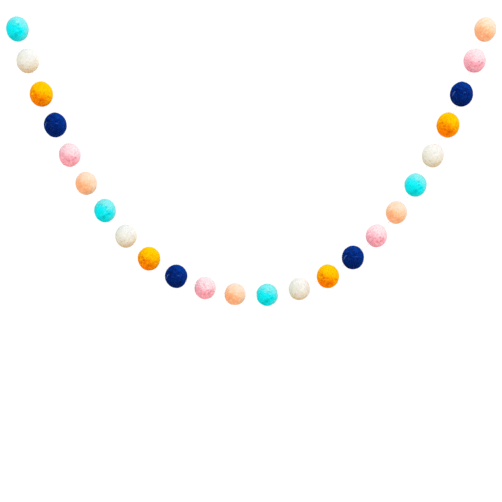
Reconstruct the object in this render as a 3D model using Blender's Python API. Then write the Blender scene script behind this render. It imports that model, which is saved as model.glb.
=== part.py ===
"""Felt ball garland: wool felt balls threaded on one cotton thread that hangs in a deep swag.

Metres, +Z up. The swag hangs in the XZ plane and is seen along +Y. The origin lies midway between
the two hanging loops, on the level line where the loops sit on their hooks.
"""
import math

import bmesh
import bpy
import numpy as np
from mathutils import Matrix, Vector

MM = 0.001

# The swag: a hanging curve whose height above its lowest point is FLATNESS * RADIUS * (cosh(x / RADIUS) - 1)
HOOK_HEIGHT = 350 * MM
CURVE_RADIUS = 125.4 * MM
CURVE_FLATNESS = 0.791
CURVE_REACH = 300 * MM
CURVE_SAMPLES = 6001

# The balls and their places along the thread
BALL_COUNT = 24
COLOUR_ORDER = ("turquoise", "ivory", "golden", "navy", "pink", "peach")
PITCH = 34.7 * MM
PITCH_WIDENING = 0.0123 * MM
CREEP_ALONG_THREAD = {1: 1.3 * MM, 2: -0.8 * MM, 4: -0.4 * MM, 5: -0.8 * MM, 6: -1.3 * MM, 7: -0.7 * MM,
                      10: 0.5 * MM, 12: -0.8 * MM, 14: 1.3 * MM, 15: 0.6 * MM, 18: -1.9 * MM, 19: -1.0 * MM,
                      21: 0.6 * MM, 23: 1.1 * MM, 24: -1.7 * MM}
HUNG_BELOW_THREAD = {2: 0.7 * MM, 4: -0.5 * MM, 8: 0.6 * MM, 9: 1.6 * MM, 10: 1.0 * MM, 12: -0.5 * MM,
                     14: 1.3 * MM, 15: 1.6 * MM}

# The size of a ball at the lowest point of the swag, and how much more it has at the ends
BALL_GIRTH = 23.4 * MM
BALL_GIRTH_GAIN = 1.0 * MM
BALL_LENGTH = 24.4 * MM
BALL_LENGTH_GAIN = 3.0 * MM
LENGTH_GAIN_POWER = 1.3
BALL_LEAN = math.radians(12)
SIZE_BY_COLOUR = {"turquoise": 1.0, "ivory": 0.995, "golden": 1.04, "navy": 1.035, "pink": 0.985, "peach": 0.975}
LUMP_HEIGHT = 0.014
OFF_CENTRE_DEPTH = 0.7 * MM
BALL_SEGMENTS = 20
BALL_RINGS = 12

# The thread, its bore through each ball, and the knotted loop at each end
THREAD_DIAMETER = 0.7 * MM
BORE_DIAMETER = 1.4 * MM
BORE_SIDES = 10
HALF_RUN = 14.2 * MM
KNOT_WIDTH = 2.6 * MM
KNOT_LENGTH = 3.8 * MM
KNOT_GAP = 0.3 * MM
LOOP_LENGTH = 20 * MM
LOOP_WIDTH = 9 * MM
LOOP_POINTS = 28
TUBE_BEVEL_RESOLUTION = 2

MATERIALS = {
    "turquoise": ((0.02, 0.72, 0.76), 0.95),
    "ivory": ((0.86, 0.81, 0.70), 0.95),
    "golden": ((0.98, 0.50, 0.02), 0.95),
    "navy": ((0.01, 0.05, 0.22), 0.95),
    "pink": ((0.94, 0.52, 0.57), 0.95),
    "peach": ((0.95, 0.62, 0.40), 0.95),
    "thread": ((0.88, 0.87, 0.84), 0.80),
}


def clear_scene():
    """Removes every object that the file starts with."""
    for item in list(bpy.data.objects):
        bpy.data.objects.remove(item, do_unlink=True)


def make_collection(name):
    """Returns a new collection in the scene."""
    collection = bpy.data.collections.new(name)
    bpy.context.scene.collection.children.link(collection)
    return collection


def make_material(name):
    """Returns a Principled material in the named colour."""
    colour, roughness = MATERIALS[name]
    material = bpy.data.materials.new(name)
    material.use_nodes = True
    shader = material.node_tree.nodes["Principled BSDF"]
    shader.inputs["Base Color"].default_value = (*colour, 1.0)
    shader.inputs["Roughness"].default_value = roughness
    shader.inputs["Metallic"].default_value = 0.0
    return material


def curve_height(x):
    """Height of the hanging curve, which is negative because the hooks are at zero."""
    return CURVE_FLATNESS * CURVE_RADIUS * (np.cosh(x / CURVE_RADIUS) - 1.0) - HOOK_HEIGHT


CURVE_X = np.linspace(0.0, CURVE_REACH, CURVE_SAMPLES)
CURVE_S = np.concatenate(([0.0], np.cumsum(np.hypot(np.diff(CURVE_X), np.diff(curve_height(CURVE_X))))))


def point_at(along):
    """Point of the hanging curve at a signed length from its lowest point."""
    x = float(np.interp(abs(along), CURVE_S, CURVE_X))
    return Vector((math.copysign(x, along), 0.0, float(curve_height(x))))


def ball_place(number):
    """Signed length along the thread at which a ball sits, counted from the lowest point."""
    steps = number - (BALL_COUNT + 1) / 2
    return PITCH * steps + PITCH_WIDENING * steps**3 + CREEP_ALONG_THREAD.get(number, 0.0)


def ball_run(number):
    """The two points where the thread enters and leaves a ball; it runs straight between them."""
    along = ball_place(number)
    return point_at(along - HALF_RUN), point_at(along + HALF_RUN)


def end_line(side):
    """The last ball's centre and the direction in which the thread leaves it, towards the hook."""
    first, last = ball_run(BALL_COUNT if side > 0 else 1)
    direction = (last - first).normalized() * side
    return (first + last) / 2, direction


def loop_base(side):
    """Where the thread ends under its knot: the loop above it just reaches its hook at height zero."""
    centre, direction = end_line(side)
    reach = KNOT_GAP + KNOT_LENGTH / 2 + LOOP_LENGTH - THREAD_DIAMETER / 2
    return centre - direction * (centre.z / direction.z + reach)


def ball_centre(number):
    """A ball's middle: its needle hole misses it a little, so the ball hangs below or above the thread."""
    first, last = ball_run(number)
    along = (last - first).normalized()
    below = Vector((along.z, 0.0, -along.x)) * HUNG_BELOW_THREAD.get(number, 0.0)
    depth = Vector((0.0, OFF_CENTRE_DEPTH * math.sin(2.4 * number), 0.0))
    return (first + last) / 2 + below + depth


def lump(direction, number):
    """Crossed waves over a ball, shifted by its number so that no two balls are alike."""
    across = math.sin(3.1 * direction.x + 1.9 * number)
    slanting = math.sin(2.7 * direction.y + 2.6 * direction.z + 0.7 * number)
    along = math.sin(4.3 * direction.z - 1.3 * number)
    return (across + slanting + along) / 3.0


def lumpy_ball_mesh(name, girth, length, number):
    """An oval ball about its own Z axis with the slight lumps of hand-rolled felt."""
    shape = bmesh.new()
    bmesh.ops.create_uvsphere(shape, u_segments=BALL_SEGMENTS, v_segments=BALL_RINGS, radius=1.0)
    for vertex in shape.verts:
        swell = 1.0 + LUMP_HEIGHT * lump(vertex.co, number)
        vertex.co = Vector((vertex.co.x * girth, vertex.co.y * girth, vertex.co.z * length)) * (swell / 2)
    mesh = bpy.data.meshes.new(name)
    shape.to_mesh(mesh)
    shape.free()
    mesh.shade_smooth()
    return mesh


def make_bore(number, centre, direction, cutters):
    """A straight needle hole's cutter, a little longer than the ball."""
    shape = bmesh.new()
    bmesh.ops.create_cone(shape, cap_ends=True, segments=BORE_SIDES, radius1=BORE_DIAMETER / 2,
                          radius2=BORE_DIAMETER / 2, depth=3 * HALF_RUN)
    mesh = bpy.data.meshes.new(f"bore_{number:02d}")
    shape.to_mesh(mesh)
    shape.free()
    cutter = bpy.data.objects.new(f"bore_{number:02d}", mesh)
    cutter.matrix_world = Matrix.Translation(centre) @ direction.to_track_quat("Z", "Y").to_matrix().to_4x4()
    cutter.hide_render = True
    cutter.display_type = "WIRE"
    cutters.objects.link(cutter)
    return cutter


def make_ball(number, hanger, parts, cutters, materials):
    """One felt ball, leaning a little with the thread, bored where the thread passes through it."""
    colour = COLOUR_ORDER[(number - 1) % len(COLOUR_ORDER)]
    share = ball_place(number) / ball_place(BALL_COUNT)
    size = SIZE_BY_COLOUR[colour]
    girth = size * (BALL_GIRTH + BALL_GIRTH_GAIN * share**2)
    length = size * (BALL_LENGTH + BALL_LENGTH_GAIN * abs(share) ** LENGTH_GAIN_POWER)
    name = f"ball_{number:02d}_{colour}"
    first, last = ball_run(number)
    ball = bpy.data.objects.new(name, lumpy_ball_mesh(name, girth, length, number))
    ball.location = ball_centre(number)
    ball.rotation_euler = (0.0, BALL_LEAN * math.sin(share * math.pi / 2), 0.0)
    ball.data.materials.append(materials[colour])
    parts.objects.link(ball)
    ball.parent = hanger
    cut = ball.modifiers.new("needle_hole", "BOOLEAN")
    cut.operation = "DIFFERENCE"
    cut.solver = "EXACT"
    cut.object = make_bore(number, (first + last) / 2, (last - first).normalized(), cutters)
    return ball


def tube_curve(name, points, closed, collection):
    """A round thread through the points, as a curve object with filled caps."""
    curve = bpy.data.curves.new(name, "CURVE")
    curve.dimensions = "3D"
    curve.bevel_depth = THREAD_DIAMETER / 2
    curve.bevel_resolution = TUBE_BEVEL_RESOLUTION
    curve.use_fill_caps = not closed
    spline = curve.splines.new("POLY")
    spline.points.add(len(points) - 1)
    for control, point in zip(spline.points, points):
        control.co = (*point, 1.0)
    spline.use_cyclic_u = closed
    thread = bpy.data.objects.new(name, curve)
    collection.objects.link(thread)
    return thread


def thread_route():
    """Straight through every ball, round the gaps between them, and straight up to each knot."""
    route = [loop_base(-1)]
    for number in range(1, BALL_COUNT + 1):
        route.extend(ball_run(number))
        if number < BALL_COUNT:
            route.append(point_at((ball_place(number) + ball_place(number + 1)) / 2))
    route.append(loop_base(1))
    return route


def make_thread(hanger, parts, materials):
    """The one thread that carries every ball."""
    thread = tube_curve("thread", thread_route(), False, parts)
    thread.data.materials.append(materials["thread"])
    thread.parent = hanger
    return thread


def loop_outline():
    """A teardrop in the local XZ plane: its point is in the knot at the origin and its round end on +Z."""
    outline = []
    for step in range(LOOP_POINTS):
        turn = 2 * math.pi * step / LOOP_POINTS
        height = (1 - math.cos(turn)) / 2
        width = math.sin(turn) * height**0.6
        outline.append(Vector((width * LOOP_WIDTH / 2, 0.0, height * LOOP_LENGTH)))
    return outline


def make_loop(name, side, hanger, parts, cutters, materials):
    """The knot at one end of the thread, in one piece with the loop that goes over a hook."""
    _, direction = end_line(side)
    turn = Matrix.Rotation(math.atan2(direction.x, direction.z), 4, "Y")
    place = Matrix.Translation(loop_base(side)) @ turn
    shape = bmesh.new()
    bmesh.ops.create_uvsphere(shape, u_segments=12, v_segments=8, radius=1.0)
    middle = KNOT_GAP + KNOT_LENGTH / 2
    for vertex in shape.verts:
        vertex.co = Vector((vertex.co.x * KNOT_WIDTH / 2, vertex.co.y * KNOT_WIDTH / 2,
                            vertex.co.z * KNOT_LENGTH / 2 + middle))
    mesh = bpy.data.meshes.new(name)
    shape.to_mesh(mesh)
    shape.free()
    mesh.shade_smooth()
    knot = bpy.data.objects.new(name, mesh)
    knot.matrix_world = place
    knot.data.materials.append(materials["thread"])
    parts.objects.link(knot)
    knot.parent = hanger
    outline = [point + Vector((0.0, 0.0, middle)) for point in loop_outline()]
    ring_curve = tube_curve(name + "_ring_curve", outline, True, cutters)
    bpy.context.view_layer.update()
    evaluated = ring_curve.evaluated_get(bpy.context.evaluated_depsgraph_get())
    ring = bpy.data.objects.new(name + "_ring", bpy.data.meshes.new_from_object(evaluated))
    ring.matrix_world = place
    ring.hide_render = True
    ring.display_type = "WIRE"
    cutters.objects.link(ring)
    bpy.data.objects.remove(ring_curve, do_unlink=True)
    join = knot.modifiers.new("loop", "BOOLEAN")
    join.operation = "UNION"
    join.solver = "EXACT"
    join.object = ring
    return knot


def main():
    """Builds the garland."""
    clear_scene()
    parts = make_collection("felt_ball_garland")
    cutters = make_collection("cutters")
    materials = {name: make_material(name) for name in MATERIALS}
    hanger = bpy.data.objects.new("hanging_line", None)
    parts.objects.link(hanger)
    for number in range(1, BALL_COUNT + 1):
        make_ball(number, hanger, parts, cutters, materials)
    make_thread(hanger, parts, materials)
    make_loop("loop_left", -1, hanger, parts, cutters, materials)
    make_loop("loop_right", 1, hanger, parts, cutters, materials)


main()
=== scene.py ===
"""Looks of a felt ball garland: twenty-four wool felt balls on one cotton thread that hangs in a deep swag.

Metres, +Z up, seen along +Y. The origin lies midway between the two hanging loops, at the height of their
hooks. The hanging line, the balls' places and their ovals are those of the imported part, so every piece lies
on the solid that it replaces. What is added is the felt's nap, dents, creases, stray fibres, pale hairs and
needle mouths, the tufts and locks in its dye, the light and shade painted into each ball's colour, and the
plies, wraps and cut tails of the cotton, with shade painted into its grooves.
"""
from __future__ import annotations

import logging
import math
from dataclasses import dataclass, field
from enum import Enum

import bpy
import numpy as np
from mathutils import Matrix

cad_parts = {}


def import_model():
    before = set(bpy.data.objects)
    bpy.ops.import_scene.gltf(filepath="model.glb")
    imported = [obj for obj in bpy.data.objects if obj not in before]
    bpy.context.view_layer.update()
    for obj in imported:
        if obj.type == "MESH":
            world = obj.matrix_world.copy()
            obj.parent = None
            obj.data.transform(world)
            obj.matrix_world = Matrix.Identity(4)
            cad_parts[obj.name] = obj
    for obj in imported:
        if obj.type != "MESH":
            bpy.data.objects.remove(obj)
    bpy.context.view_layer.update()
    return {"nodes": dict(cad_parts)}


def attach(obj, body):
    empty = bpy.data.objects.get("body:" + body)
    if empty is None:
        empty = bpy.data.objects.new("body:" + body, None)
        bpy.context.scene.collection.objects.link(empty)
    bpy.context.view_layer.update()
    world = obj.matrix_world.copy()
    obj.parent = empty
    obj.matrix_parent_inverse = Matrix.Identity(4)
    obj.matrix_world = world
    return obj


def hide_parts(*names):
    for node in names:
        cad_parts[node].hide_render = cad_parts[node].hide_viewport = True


LOG = logging.getLogger("felt_ball_garland")
MM = 0.001
BODY = "root"
PHOTO_PIXELS = 502
PIXEL = 1.1 * MM
ALONG_Y = np.array((0.0, 1.0, 0.0))
ALONG_Z = np.array((0.0, 0.0, 1.0))
DENT_SEED = 100
CREASE_SEED = 200
FIBRE_SEED = 300

GREY = (0.5, 0.5, 0.5)
SURFACE_OUTPUTS = {"Color": "NodeSocketColor", "Roughness": "NodeSocketFloat", "Height": "NodeSocketFloat"}

Pair = tuple[float, float]
Triple = tuple[float, float, float]
Colour = Triple


class Dye(Enum):
    """The dyed wools in their order along the thread."""

    TURQUOISE = "turquoise"
    IVORY = "ivory"
    GOLDEN = "golden"
    NAVY = "navy"
    PINK = "pink"
    PEACH = "peach"


class Side(Enum):
    """The two ends of the thread, seen from the front."""

    LEFT = -1
    RIGHT = 1


def unit(vectors: np.ndarray) -> np.ndarray:
    """Vectors along the last axis, each divided by its own length."""
    return vectors / np.linalg.norm(vectors, axis=-1, keepdims=True)


def corner_angles(corners: int) -> np.ndarray:
    """Angles of a ring's corners, evenly round one turn from zero."""
    return 2 * np.pi * np.arange(corners) / corners


def slender(along: np.ndarray, tip: float) -> np.ndarray:
    """Thickness of a strand that tapers to both ends: the root of sin(pi * t), for t from tip to 1 - tip."""
    return np.sin(np.pi * (tip + (1 - 2 * tip) * along)) ** 0.5


def turned_about_y(vectors: np.ndarray, angle: float) -> np.ndarray:
    """Turns vectors about the Y axis.

    Formula: x' = x cos + z sin and z' = z cos - x sin, with y unchanged.

    Args:
        vectors: Points or directions, with x, y and z on the last axis.
        angle: The turn in radians; a positive one leans +Z towards +X.

    Returns:
        The turned vectors, in an array of the same shape.
    """
    x, y, z = np.moveaxis(vectors, -1, 0)
    cosine, sine = math.cos(angle), math.sin(angle)
    return np.stack((x * cosine + z * sine, y, z * cosine - x * sine), axis=-1)


def lengths_along(path: np.ndarray) -> np.ndarray:
    """Summed chord length from a path's first point to each of its points, which have shape (points, 3)."""
    return np.concatenate(([0.0], np.cumsum(np.linalg.norm(np.diff(path, axis=0), axis=1))))


def evenly(path: np.ndarray, step: float) -> np.ndarray:
    """The same path with points at equal steps.

    Formula: each coordinate is read off the path's summed chord length at equal lengths.

    Args:
        path: Points of shape (points, 3).
        step: The wanted spacing, kept as nearly as a whole number of steps allows.

    Returns:
        The new points, with the same two end points.
    """
    lengths = lengths_along(path)
    wanted = np.linspace(0.0, lengths[-1], max(2, int(round(lengths[-1] / step)) + 1))
    return np.stack([np.interp(wanted, lengths, path[:, axis]) for axis in range(3)], axis=-1)


def rounded_off(path: np.ndarray, reach: int) -> np.ndarray:
    """The path with its corners eased by a running average over nearby points, its two ends kept.

    Args:
        path: Evenly spaced points of shape (points, 3).
        reach: How many points on each side are averaged.

    Returns:
        Points of the same shape.
    """
    padded = np.concatenate((np.repeat(path[:1], reach, axis=0), path, np.repeat(path[-1:], reach, axis=0)))
    weights = np.hanning(2 * reach + 3)[1:-1]
    weights = weights / weights.sum()
    eased = np.stack([np.convolve(padded[:, axis], weights, "valid") for axis in range(3)], axis=-1)
    eased[0], eased[-1] = path[0], path[-1]
    return eased


def strand_rings(path: np.ndarray, sideways: np.ndarray, angle: np.ndarray, radius: np.ndarray) -> np.ndarray:
    """Rings that lie square to one or more paths.

    Formula: the first axis is sideways x tangent and the second is tangent x first, both of length one, and
    a corner lies at path + radius * (first * cos(angle) + second * sin(angle)).

    Args:
        path: Points of shape (..., points, 3).
        sideways: Directions in which the path never runs, one for all or one for each point.
        angle: Angles of the corners, of shape (corners,) or (points, corners).
        radius: Their distances from the path, of shape (points, corners) or (points, 1).

    Returns:
        The corners, of shape (..., points, corners, 3).
    """
    tangent = unit(np.gradient(path, axis=-2))
    first = unit(np.cross(sideways, tangent))
    second = np.cross(tangent, first)
    around = first[..., None, :] * np.cos(angle)[..., None] + second[..., None, :] * np.sin(angle)[..., None]
    return path[..., None, :] + around * radius[..., None]


class PieceMesh:
    """Gathers the closed surfaces of one piece and makes them one mesh object at the origin."""

    def __init__(self, name: str) -> None:
        """Starts an empty piece.

        Args:
            name: The name that its object and mesh will have.
        """
        self.name = name
        self.points: list[np.ndarray] = []
        self.quads: list[np.ndarray] = []
        self.triangles: list[np.ndarray] = []
        self.values: dict[str, list[np.ndarray]] = {}
        self.count = 0

    def add_closed(self, rings: np.ndarray, starts: np.ndarray, ends: np.ndarray,
                   **values: np.ndarray) -> None:
        """Adds surfaces that are each a stack of rings, closed at both ends by a fan round one point.

        The rings run from the start to the end, and each ring turns right-handed about that way, so that
        the quads (ring, ring + next corner, next ring + next corner, next ring) face outwards.

        Args:
            rings: Points of shape (surfaces, rings, corners, 3).
            starts: Closing points before the first rings, of shape (surfaces, 3).
            ends: Closing points after the last rings, of shape (surfaces, 3).
            values: Attributes of shape (surfaces, rings * corners + 2, width), for rings, start and end.
        """
        surfaces, ring_count, corners, _ = rings.shape
        each = ring_count * corners + 2
        flat = np.concatenate((rings.reshape(surfaces, -1, 3), starts[:, None], ends[:, None]), axis=1)
        base = self.count + each * np.arange(surfaces)[:, None, None]
        ring = corners * np.arange(ring_count)[None, :, None]
        corner = np.arange(corners)[None, None, :]
        after = (corner + 1) % corners
        low, high = base + ring[:, :-1], base + ring[:, 1:]
        quads = np.stack((low + corner, low + after, high + after, high + corner), axis=-1)
        last_ring = corners * (ring_count - 1)
        start = np.broadcast_to(base + each - 2, (surfaces, 1, corners))
        end = np.broadcast_to(base + each - 1, (surfaces, 1, corners))
        opening = np.stack((start, base + after, base + corner), axis=-1)
        closing = np.stack((end, base + last_ring + corner, base + last_ring + after), axis=-1)
        self.points.append(flat.reshape(-1, 3))
        self.quads.append(quads.reshape(-1, 4))
        self.triangles.append(np.concatenate((opening.reshape(-1, 3), closing.reshape(-1, 3))))
        for key, value in values.items():
            self.values.setdefault(key, []).append(value.reshape(surfaces * each, -1))
        self.count += surfaces * each

    def make(self) -> bpy.types.Object:
        """Makes the object, shaded smooth, with one attribute for each kind of value that was added.

        Returns:
            The object, linked to the scene.
        """
        points = np.concatenate(self.points)
        quads = np.concatenate(self.quads)
        triangles = np.concatenate(self.triangles)
        mesh = bpy.data.meshes.new(self.name)
        mesh.vertices.add(len(points))
        mesh.vertices.foreach_set("co", points.astype(np.float32).ravel())
        corners = np.concatenate((quads.ravel(), triangles.ravel())).astype(np.int32)
        totals = np.concatenate((np.full(len(quads), 4), np.full(len(triangles), 3))).astype(np.int32)
        firsts = np.concatenate(([0], np.cumsum(totals)[:-1])).astype(np.int32)
        mesh.loops.add(len(corners))
        mesh.loops.foreach_set("vertex_index", corners)
        mesh.polygons.add(len(totals))
        mesh.polygons.foreach_set("loop_start", firsts)
        mesh.polygons.foreach_set("loop_total", totals)
        mesh.update(calc_edges=True)
        mesh.validate()
        for key, chunks in self.values.items():
            value = np.concatenate(chunks).astype(np.float32)
            kind, slot = ("FLOAT_VECTOR", "vector") if value.shape[1] == 3 else ("FLOAT", "value")
            mesh.attributes.new(key, kind, "POINT").data.foreach_set(slot, value.ravel())
        mesh.shade_smooth()
        piece = bpy.data.objects.new(self.name, mesh)
        bpy.context.scene.collection.objects.link(piece)
        return piece


@dataclass(frozen=True)
class Swag:
    """The line in which the thread hangs, and where the balls sit on it.

    By a ball's number, creep is how far it has slipped along the thread, and hung_below how far its middle
    lies under it.
    """

    hook_height: float = 350 * MM
    radius: float = 125.4 * MM
    flatness: float = 0.791
    reach: float = 300 * MM
    samples: int = 6001
    ball_count: int = 24
    pitch: float = 34.7 * MM
    pitch_widening: float = 0.0123 * MM
    half_run: float = 14.2 * MM
    creep: dict[int, float] = field(default_factory=lambda: {
        1: 1.3 * MM, 2: -0.8 * MM, 4: -0.4 * MM, 5: -0.8 * MM, 6: -1.3 * MM, 7: -0.7 * MM, 10: 0.5 * MM,
        12: -0.8 * MM, 14: 1.3 * MM, 15: 0.6 * MM, 18: -1.9 * MM, 19: -1.0 * MM, 21: 0.6 * MM, 23: 1.1 * MM,
        24: -1.7 * MM})
    hung_below: dict[int, float] = field(default_factory=lambda: {
        2: 0.7 * MM, 4: -0.5 * MM, 8: 0.6 * MM, 9: 1.6 * MM, 10: 1.0 * MM, 12: -0.5 * MM, 14: 1.3 * MM,
        15: 1.6 * MM})

    def height(self, x: np.ndarray) -> np.ndarray:
        """Height of the line: flatness * radius * (cosh(x / radius) - 1), less the height of the hooks."""
        return self.flatness * self.radius * (np.cosh(x / self.radius) - 1.0) - self.hook_height

    def points_at(self, along: np.ndarray) -> np.ndarray:
        """Points of the line at signed lengths from its lowest point.

        Formula: the length up to each of many x is summed from short chords, and x is read back from it.

        Args:
            along: Lengths along the line, negative on the left.

        Returns:
            Points of shape (lengths, 3), all at y zero.
        """
        xs = np.linspace(0.0, self.reach, self.samples)
        chords = np.hypot(np.diff(xs), np.diff(self.height(xs)))
        lengths = np.concatenate(([0.0], np.cumsum(chords)))
        x = np.copysign(np.interp(np.abs(along), lengths, xs), along)
        return np.stack((x, np.zeros_like(x), self.height(x)), axis=-1)

    def ball_place(self, number: int) -> float:
        """Signed length at which a ball sits: pitch * steps + widening * steps cubed, and its creep."""
        steps = number - (self.ball_count + 1) / 2
        return self.pitch * steps + self.pitch_widening * steps**3 + self.creep.get(number, 0.0)

    def share(self, number: int) -> float:
        """A ball's place as a share of the last ball's, from about -1 on the left to 1 on the right."""
        return self.ball_place(number) / self.ball_place(self.ball_count)

    def ball_run(self, number: int) -> np.ndarray:
        """The two points between which the thread runs straight through a ball, left one first."""
        along = self.ball_place(number)
        return self.points_at(np.array((along - self.half_run, along + self.half_run)))

    def end_line(self, side: Side) -> tuple[np.ndarray, np.ndarray]:
        """The middle of the last ball's run, and the way in which the thread leaves it towards the hook."""
        first, last = self.ball_run(self.ball_count if side is Side.RIGHT else 1)
        return (first + last) / 2, unit(last - first) * side.value


@dataclass(frozen=True)
class LoopSizes:
    """Sizes of a hanging loop, the knot that closes it and its cut tail.

    The splice is how far the loop's strand reaches down into the thread's end. The wraps climb from
    -wrap_height to wrap_height, and come out of the knot's middle over the share wrap_start of their path.
    The strand that crosses over them turns by cross_turn radians, stands cross_rise thread diameters further
    out at most, and keeps its distance from the share cross_held of its path on. The tail droops by its
    length divided by tail_stiffness.
    """

    knot_length: float = 3.8 * MM
    knot_gap: float = 0.3 * MM
    length: float = 20 * MM
    width: float = 9 * MM
    fullness: float = 0.6
    leg_start: float = 0.05
    ring_points: int = 240
    splice: float = 1.25 * MM
    wraps: float = 3.3
    wrap_radius: float = 0.80 * MM
    wrap_height: float = 1.15 * MM
    wrap_start: float = 0.06
    wrap_points: int = 160
    cross_turn: float = 1.25 * math.pi
    cross_rise: float = 0.72
    cross_held: float = 0.82
    cross_points: int = 50
    tail_length: float = 5.0 * MM
    tail_stiffness: float = 3.0
    tail_points: int = 40
    knot_strand: float = 0.92
    knot_step: float = 0.1 * MM
    knot_easing: int = 4

    @property
    def knot_middle(self) -> float:
        """Height of the knot's middle above the end of the thread."""
        return self.knot_gap + self.knot_length / 2


@dataclass(frozen=True)
class ThreadSizes:
    """Sizes of the three-ply cotton thread."""

    diameter: float = 0.7 * MM
    plies: int = 3
    groove: float = 0.20
    corners: int = 12
    turn_length: float = 2.6 * MM
    step: float = 0.25 * MM
    taper_rings: int = 3


def loop_base(swag: Swag, loop: LoopSizes, thread: ThreadSizes, side: Side) -> np.ndarray:
    """Where the thread ends under its knot, so that the loop above it just reaches its hook at height zero.

    Formula: from the last ball, up the thread's own way to height zero, and back by the knot's middle, the
    loop's length and half a thread.

    Args:
        swag: The hanging line.
        loop: Sizes of the loop and knot.
        thread: Sizes of the thread.
        side: Which end.

    Returns:
        The point, of shape (3,).
    """
    centre, way = swag.end_line(side)
    reach = loop.knot_middle + loop.length - thread.diameter / 2
    return centre - way * (centre[2] / way[2] + reach)


def add_plied_tube(mesh: PieceMesh, path: np.ndarray, sideways: np.ndarray, sizes: ThreadSizes,
                   thickness: float = 1.0) -> None:
    """Adds a twisted thread along a path.

    Formula: each ring lies square to the path. Its radius is half the diameter times (1 - groove + groove *
    |cos(plies * angle / 2)|), which makes one round ply for each of the plies, and the ring turns once in
    each turn length, so the plies wind round each other. The last few rings narrow to closed ends.

    Args:
        mesh: The piece that takes the surface.
        path: Evenly spaced points of shape (points, 3).
        sideways: A direction that the path never runs along, from which each ring's own axes are made.
        sizes: The thread's sizes.
        thickness: Times the thread's own diameter.
    """
    along = lengths_along(path)
    angle = corner_angles(sizes.corners)
    ply = 1 - sizes.groove + sizes.groove * np.abs(np.cos(sizes.plies * angle / 2))
    ring = np.arange(len(path))
    near_end = np.minimum(ring, ring[::-1])
    narrow = np.clip((near_end + 1) / (sizes.taper_rings + 1), 0, 1) ** 0.5
    radius = thickness * sizes.diameter / 2 * narrow[:, None] * ply[None]
    spin = angle[None] + 2 * np.pi * along[:, None] / sizes.turn_length
    rings = strand_rings(path, sideways, spin, radius)
    place = np.stack(np.broadcast_arrays(along[:, None], angle[None], ply[None]), axis=-1).reshape(-1, 3)
    ends = np.array(((along[0], 0.0, 1.0), (along[-1], 0.0, 1.0)))
    mesh.add_closed(rings[None], path[:1], path[-1:], ply_place=np.concatenate((place, ends))[None])


@dataclass(frozen=True)
class WaveBand:
    """How many waves make one kind of relief, and how many radians they turn over a ball's radius."""

    waves: int
    lowest: float
    highest: float


class Ripples:
    """Uneven waves over a ball, the same each time for one seed."""

    def __init__(self, seed: int, band: WaveBand) -> None:
        """Draws the waves.

        Args:
            seed: What makes one ball unlike the next.
            band: How many waves there are and how short.
        """
        rng = np.random.default_rng(seed)
        numbers = rng.uniform(band.lowest, band.highest, band.waves)
        self.ways = unit(rng.normal(size=(band.waves, 3))) * numbers[:, None]
        self.phases = rng.uniform(0, 2 * np.pi, band.waves)
        weights = band.lowest / numbers
        self.weights = weights / math.sqrt(float((weights**2).sum()) / 2)

    def at(self, directions: np.ndarray) -> np.ndarray:
        """Height at each direction: the weighted sum of sin(wave . direction + phase), of spread one."""
        return np.sin(directions @ self.ways.T + self.phases) @ self.weights


@dataclass(frozen=True)
class FibreSizes:
    """Sizes of the stray wool fibres on one ball.

    Length and lift are multiplied by a random number whose logarithm has the spread given, kept within the
    range given. Curl is the most that a fibre turns aside, in radians. A free fibre rises as the power
    free_rise of the way along it. The tone runs from dull upwards by tone_gain, with only few pale fibres,
    because an even draw is raised to the power rarity.
    """

    count: int = 700
    points: int = 5
    sides: int = 3
    radius: float = 0.028 * MM
    tip: float = 0.12
    root_depth: float = 0.06 * MM
    length: float = 2.4 * MM
    length_spread: float = 0.45
    length_range: Pair = (0.35, 2.6)
    lift: float = 0.20 * MM
    lift_spread: float = 0.6
    lift_range: Pair = (0.2, 3.2)
    curl: float = 1.6
    free_share: float = 0.35
    free_rise: float = 1.4
    rarity: int = 3
    dull: float = 0.08
    tone_gain: float = 0.40


@dataclass(frozen=True)
class BallSizes:
    """Sizes that all balls share, at the lowest point of the swag, and how they grow towards its ends.

    Each lump wave is the radians that it turns along x, y and z over one radius, and lump_shifts moves the
    waves on from ball to ball, as off_centre_shift and wool_shift do for the ball's depth and its wool.
    """

    girth: float = 23.4 * MM
    girth_gain: float = 1.0 * MM
    length: float = 24.4 * MM
    length_gain: float = 3.0 * MM
    gain_power: float = 1.3
    lean: float = math.radians(12)
    lump_height: float = 0.014
    lump_waves: tuple[Triple, ...] = ((3.1, 0.0, 0.0), (0.0, 2.7, 2.6), (0.0, 0.0, 4.3))
    lump_shifts: tuple[float, ...] = (1.9, 0.7, -1.3)
    off_centre_depth: float = 0.7 * MM
    off_centre_shift: float = 2.4
    wool_shift: Triple = (0.11, 0.07, 0.13)
    skin_columns: int = 120
    skin_rows: int = 68
    pole_crowding: float = 0.6
    pit_depth: float = 1.9 * MM
    pit_width: float = 0.62 * MM
    dimple_depth: float = 0.45 * MM
    dimple_width: float = 2.4 * MM
    nap_height: float = 0.12 * MM
    dent_height: float = 0.06 * MM
    dent_waves: WaveBand = WaveBand(36, 5.0, 14.0)
    crease_depth: float = 0.07 * MM
    crease_width: float = 0.45
    crease_waves: WaveBand = WaveBand(48, 14.0, 34.0)
    fibres: FibreSizes = FibreSizes()


SIZE_BY_DYE = {Dye.TURQUOISE: 1.0, Dye.IVORY: 0.995, Dye.GOLDEN: 1.04, Dye.NAVY: 1.035, Dye.PINK: 0.985,
               Dye.PEACH: 0.975}


class Tint(Enum):
    """What a lock of wool does to the dye where it lies.

    A paler or deeper one moves the colour along the light and shade painted across the ball, partly as a patch
    in the wool and partly as painted light and shade; a dark one lays deep strands over it, and a light one
    brightens it and makes it a little paler.
    """

    PALER = "paler"
    DEEPER = "deeper"
    DARK = "dark"
    LIGHT = "light"

    @property
    def paling(self) -> float:
        """How far a full lock of this tint moves the colour from painted shade towards painted light."""
        return {Tint.PALER: 1.0, Tint.DEEPER: -1.0, Tint.LIGHT: 0.4}.get(self, 0.0)


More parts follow.
